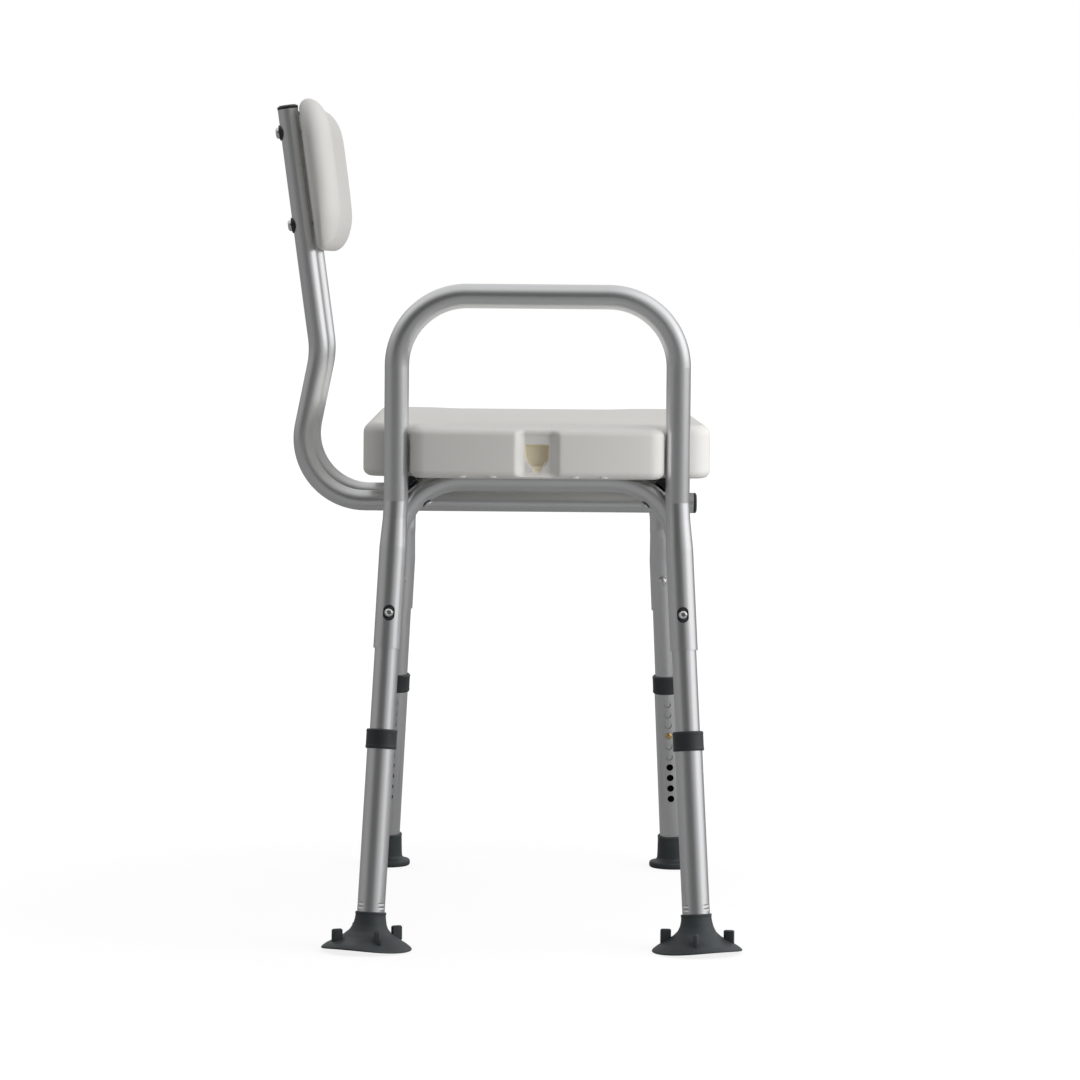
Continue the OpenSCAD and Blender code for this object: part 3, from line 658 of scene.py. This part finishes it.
for key in LEGS:
    node = "lower_leg_" + key
    nodes[node].data.materials[0] = aluminium(node, ([c * MM for c in middle(node)], list(leg_axis(key))))

suction_foot("near_front", -5)
suction_foot("near_rear", 22, 3.0)
rubber_tip("far_front")
rubber_tip("far_rear")
for key in LEGS:
    collar(key)
    button(key)


# ---- screws and nuts ----
def solids(key):
    """The separate solids of a CAD node, as lists of points in millimetres."""
    obj = nodes[key]
    bm = bmesh.new()
    bm.from_mesh(obj.data)
    bmesh.ops.remove_doubles(bm, verts=bm.verts, dist=1e-6)
    seen, out = set(), []
    for start in bm.verts:
        if start.index in seen:
            continue
        stack, group = [start], []
        seen.add(start.index)
        while stack:
            v = stack.pop()
            group.append(obj.matrix_world @ v.co / MM)
            for e in v.link_edges:
                w = e.other_vert(v)
                if w.index not in seen:
                    seen.add(w.index)
                    stack.append(w)
        out.append(group)
    bm.free()
    return out


def long_axis(points):
    """Middle and unit axis of a long thin solid, by repeated multiplication with its spread."""
    mid = sum(points, Vector()) / len(points)
    spread = Matrix(((0, 0, 0), (0, 0, 0), (0, 0, 0)))
    for p in points:
        d = p - mid
        for i in range(3):
            for j in range(3):
                spread[i][j] += d[i] * d[j]
    # any start that no screw is square to
    axis = Vector((0.41, 0.53, 0.74))
    for _ in range(60):
        axis = (spread @ axis).normalized()
    return mid, axis


def hexagon(depth_steps, flat):
    """Makes the given steps of a lathe six-sided."""
    def shape(step, a, r):
        if step not in depth_steps:
            return r
        a = (a + math.pi / 6) % (math.pi / 3) - math.pi / 6
        return flat / math.cos(a)
    return shape


def cross(depth_steps, arm, half):
    """Makes the given steps of a lathe a cross with rounded ends."""
    def shape(step, a, r):
        if step not in depth_steps:
            return r
        a = abs((a + math.pi / 4) % (math.pi / 2) - math.pi / 4)
        return min(arm, half / max(math.sin(a), 1e-3))
    return shape


def oval_hole_shade_pad(shell, origin, axis):
    """Dark pad that fills the oval access hole behind a bolt's head: painted shade for the hole."""
    key = min(LEGS, key=lambda k: (Vector(middle("upper_leg_" + k)) - origin).length)
    up = leg_axis(key)
    side = up.cross(axis).normalized()
    end_r, straight = 5.85, 2.4     # the oval: radius of its ends and half of its straight part
    curve_r = 12.7                  # the pad is curved like the tube
    # slot 1 is dark plastic, painted shade in the hole
    shell.slot = 1
    last = shell.ring([origin + axis * 0.5])
    for part, rise in ((0.35, 0.5), (0.7, 0.5), (0.93, 0.45), (1.0, 0.2)):
        points = []
        for i in range(48):
            a = 2 * math.pi * i / 48
            x, z = end_r * part * math.cos(a), end_r * part * math.sin(a)
            if abs(math.sin(a)) > 1e-6:
                z += math.copysign(straight * min(1, part * 3), math.sin(a))
            out = math.sqrt((curve_r + rise) ** 2 - x ** 2) - curve_r
            points.append(origin + side * x + up * z + axis * out)
        ring = shell.ring(points)
        shell.join(last, ring)
        last = ring
    shell.slot = 0


def screws(key, head_r, head_h, shank_r, drive):
    """Redraws each screw of a node where its CAD solid is, with a head that has a drive in it."""
    shell = Shell()
    for points in solids(key):
        mid, axis = long_axis(points)
        heights = [(p - mid).dot(axis) for p in points]
        radii = [((p - mid) - axis * h).length for p, h in zip(points, heights)]
        # the head is at the end that is wider
        wide_at = [h for h, r in zip(heights, radii) if r > 0.75 * max(radii)]
        if sum(wide_at) / len(wide_at) < 0:
            axis, heights = -axis, [-h for h in heights]
        top, low = max(heights), min(heights)
        origin = mid + axis * (top - head_h)
        length = top - head_h - low
        r, h = head_r, head_h
        profile = [(0, -length), (shank_r - 0.6, -length), (shank_r, -length + 0.8), (shank_r, 0)]
        if drive == "hex":
            s = r * 0.46
            profile += [(r - 0.3, 0), (r, 0.3), (r, 0.7), (r * 0.96, h * 0.42), (r * 0.84, h * 0.72),
                        (r * 0.68, h * 0.93), (s * 1.3, h), (s * 1.12, h - 0.1), (s, h - 0.35), (s, h * 0.35),
                        (0, h * 0.3)]
            shape = hexagon((12, 13), s * 0.92)
        else:
            h -= 0.45   # keeps the head inside the CAD's box
            profile += [(r - 0.4, 0), (r, 0.4), (r, 1.1), (r * 0.95, h * 0.55), (r * 0.82, h * 0.82),
                        (r * 0.66, h * 0.96), (r * 0.6, h), (r * 0.58, h), (r * 0.58, h - 1.5), (0, h - 2.1)]
            shape = cross((11, 12), r * 0.58, 0.85)
        shell.lathe(profile, along(origin, axis), 48, shape)
        # painted shade: a dark pad fills each leg bolt's oval hole
        if key == "leg_bolts":
            oval_hole_shade_pad(shell, origin, axis)
    return shell


# node, radius and height of the head, radius of the shank, drive
SCREWS = [
    ("leg_bolts", 4.8, 3.4, 2.48, "hex"),
    ("backrest_screws", 6.3, 4.4, 2.48, "cross"),
    ("bow_bolts", 6.0, 3.6, 2.93, "hex"),
    ("rail_bolts", 6.0, 3.4, 2.46, "hex"),
    ("back_bolts", 6.0, 3.6, 2.96, "hex"),
    ("seat_screws", 5.0, 3.0, 2.18, "cross"),
]
for key, *sizes in SCREWS:
    # the leg bolts' second slot is dark plastic for the painted shade in their oval holes
    slots = ["chrome", "dark_plastic"] if key == "leg_bolts" else ["chrome"]
    screws(key, *sizes).make(key[:-1] + "_set", slots, key)

# dome nuts on the other side of the legs
shell = Shell()
for points in solids("leg_nuts"):
    mid = sum(points, Vector()) / len(points)
    out = inward(min(LEGS, key=lambda k: (Vector(middle("upper_leg_" + k)) - mid).length))
    heights = [p.dot(out) for p in points]
    tall = max(heights) - min(heights)
    # the dome's tip lies on the axis
    tip = max(points, key=lambda p: p.dot(out))
    profile = [(2.5, 0.6), (5.4, 0.4), (5.9, 0.8), (5.9, 1.2), (5.4, 1.5), (4.9, 1.5), (4.7, 1.8), (4.7, tall - 3.6),
               (4.3, tall - 3.2), (3.9, tall - 3.1), (3.75, tall - 2.2), (3.1, tall - 1.0), (1.8, tall - 0.3),
               (0, tall)]
    shell.lathe(profile, along(tip - out * tall, out), 48, hexagon((6, 7), 4.1))
shell.make("leg_nut_set", ["chrome"], "leg_nuts")

# soften the edges of the plain moulded blocks
for key in ("rail_saddles", "back_saddles", "bow_plugs", "front_caps", "top_caps", "rail_caps", "saddle_washers",
            "bow_nuts"):
    mod = nodes[key].modifiers.new("edge", "BEVEL")
    mod.width = 0.0006
    mod.segments = 2
    mod.limit_method = "ANGLE"
    mod.angle_limit = math.radians(40)

# ---- stage ----
mat, g, bsdf = material("floor")
bsdf.inputs["Base Color"].default_value = (0.90, 0.90, 0.90, 1)
bsdf.inputs["Roughness"].default_value = 0.9
bsdf.inputs["Specular IOR Level"].default_value = 0.1
# the camera sees a floor that turns white away from the bench; other rays meet a plain grey one
place = g.new("ShaderNodeNewGeometry").outputs["Position"]
away = g.new("ShaderNodeVectorMath", {0: place}, operation="LENGTH").outputs["Value"]
glow = g.new("ShaderNodeEmission", {"Color": (1, 1, 1, 1), "Strength": 1.06})
grey = g.new("ShaderNodeBsdfDiffuse", {"Color": (0.34, 0.34, 0.34, 1)})
edge = g.new("ShaderNodeMixShader", {0: g.smooth(away, 0.35, 1.3, 0.8, 1.0), 1: bsdf.outputs[0], 2: glow.outputs[0]})
path = g.new("ShaderNodeLightPath").outputs["Is Camera Ray"]
mix = g.new("ShaderNodeMixShader", {0: path, 1: grey.outputs[0], 2: edge.outputs[0]})
# clear from below, so that the underside can be looked at
below = g.new("ShaderNodeNewGeometry").outputs["Backfacing"]
clear = g.new("ShaderNodeBsdfTransparent").outputs[0]
mix = g.new("ShaderNodeMixShader", {0: below, 1: mix.outputs[0], 2: clear})
g.tree.links.new(mix.outputs[0], g.tree.nodes["Material Output"].inputs["Surface"])
bm = bmesh.new()
bmesh.ops.create_circle(bm, cap_ends=True, segments=96, radius=60)
mesh = bpy.data.meshes.new("floor")
bm.to_mesh(mesh)
bm.free()
floor = bpy.data.objects.new("floor", mesh)
scene.collection.objects.link(floor)
mesh.materials.append(mat)

# ---- light ----
world = bpy.data.worlds.new("studio")
scene.world = world
world.use_nodes = True
g = Graph(world.node_tree)
ray = g.new("ShaderNodeTexCoord").outputs["Generated"]

# azimuth, elevation, inner and outer angle, power, seen by reflections only
LOBES = [
    (80, 12, 25, 78, 0.52, False),
    # reflections see a brighter box on the open side and a dimmer one overhead
    (84, 5, 12, 42, 0.65, True),
    (180, 72, 25, 80, -0.17, True),
    (-92, 8, 10, 60, 0.25, False),
    (180, 72, 25, 80, 0.79, False),
    (180, 15, 10, 50, 0.12, False),
]
AMBIENT = 0.085


def lobe(azimuth, elevation, low, high, power):
    """A soft box: azimuth 0 is towards the camera, 90 is towards +X; low and high are angles from its middle."""
    a, e = math.radians(azimuth), math.radians(elevation)
    d = (math.sin(a) * math.cos(e), -math.cos(a) * math.cos(e), math.sin(e))
    return g.smooth(g.dot(ray, d), math.cos(math.radians(high)), math.cos(math.radians(low)), 0.0, power)


rays = g.new("ShaderNodeLightPath").outputs
total = None
for *box, reflected in LOBES:
    part = lobe(*box)
    if reflected:
        part = g.math("MULTIPLY", rays["Is Glossy Ray"], part)
    total = g.math("ADD", total, part) if total else part
total = g.math("ADD", total, AMBIENT)
strength = g.new("ShaderNodeMix", {0: rays["Is Camera Ray"], 2: total, 3: 1.0}, data_type="FLOAT").outputs[0]
back = g.new("ShaderNodeBackground", {"Color": (1, 1, 1, 1), "Strength": strength})
g.new("ShaderNodeOutputWorld", {"Surface": back.outputs[0]})

# a soft light close by on the open side
lamp = bpy.data.lights.new("side_light", "AREA")
lamp.shape = "DISK"
lamp.size = 1.2
lamp.energy = 10
side = bpy.data.objects.new("side_light", lamp)
side.location = (1.15, -0.75, 0.6)
side.rotation_euler = Vector((1.15, -0.5, 0.1)).to_track_quat("Z", "Y").to_euler()
side.visible_camera = False
side.visible_glossy = False
scene.collection.objects.link(side)

# ---- camera ----
# it stands off the arm end of the bench and looks along it; lengths in metres and angles in degrees
FOCAL_PX, PHOTO_PX, SENSOR_MM = 4150, 1080, 36
DISTANCE, EYE_HEIGHT, ASIDE = 4.316, 0.6875, 0.0359
ARM_TUBE_R = 0.0127
PITCH, YAW, ROLL = 3.516, -0.527, 0.5
arm_low, arm_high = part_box("arm_frame")
arm_mid_x = (arm_low[0] + arm_high[0]) / 2
camera = bpy.data.objects.new("camera", bpy.data.cameras.new("camera"))
camera.data.lens = FOCAL_PX / PHOTO_PX * SENSOR_MM
camera.data.clip_end = 200
camera.location = (arm_mid_x - ASIDE, arm_high[1] - ARM_TUBE_R - DISTANCE, EYE_HEIGHT)
view = Euler((math.radians(90 - PITCH), 0, math.radians(YAW)), "XYZ").to_matrix()
camera.rotation_euler = (view @ Matrix.Rotation(math.radians(ROLL), 3, "Z")).to_euler()
scene.collection.objects.link(camera)
scene.camera = camera
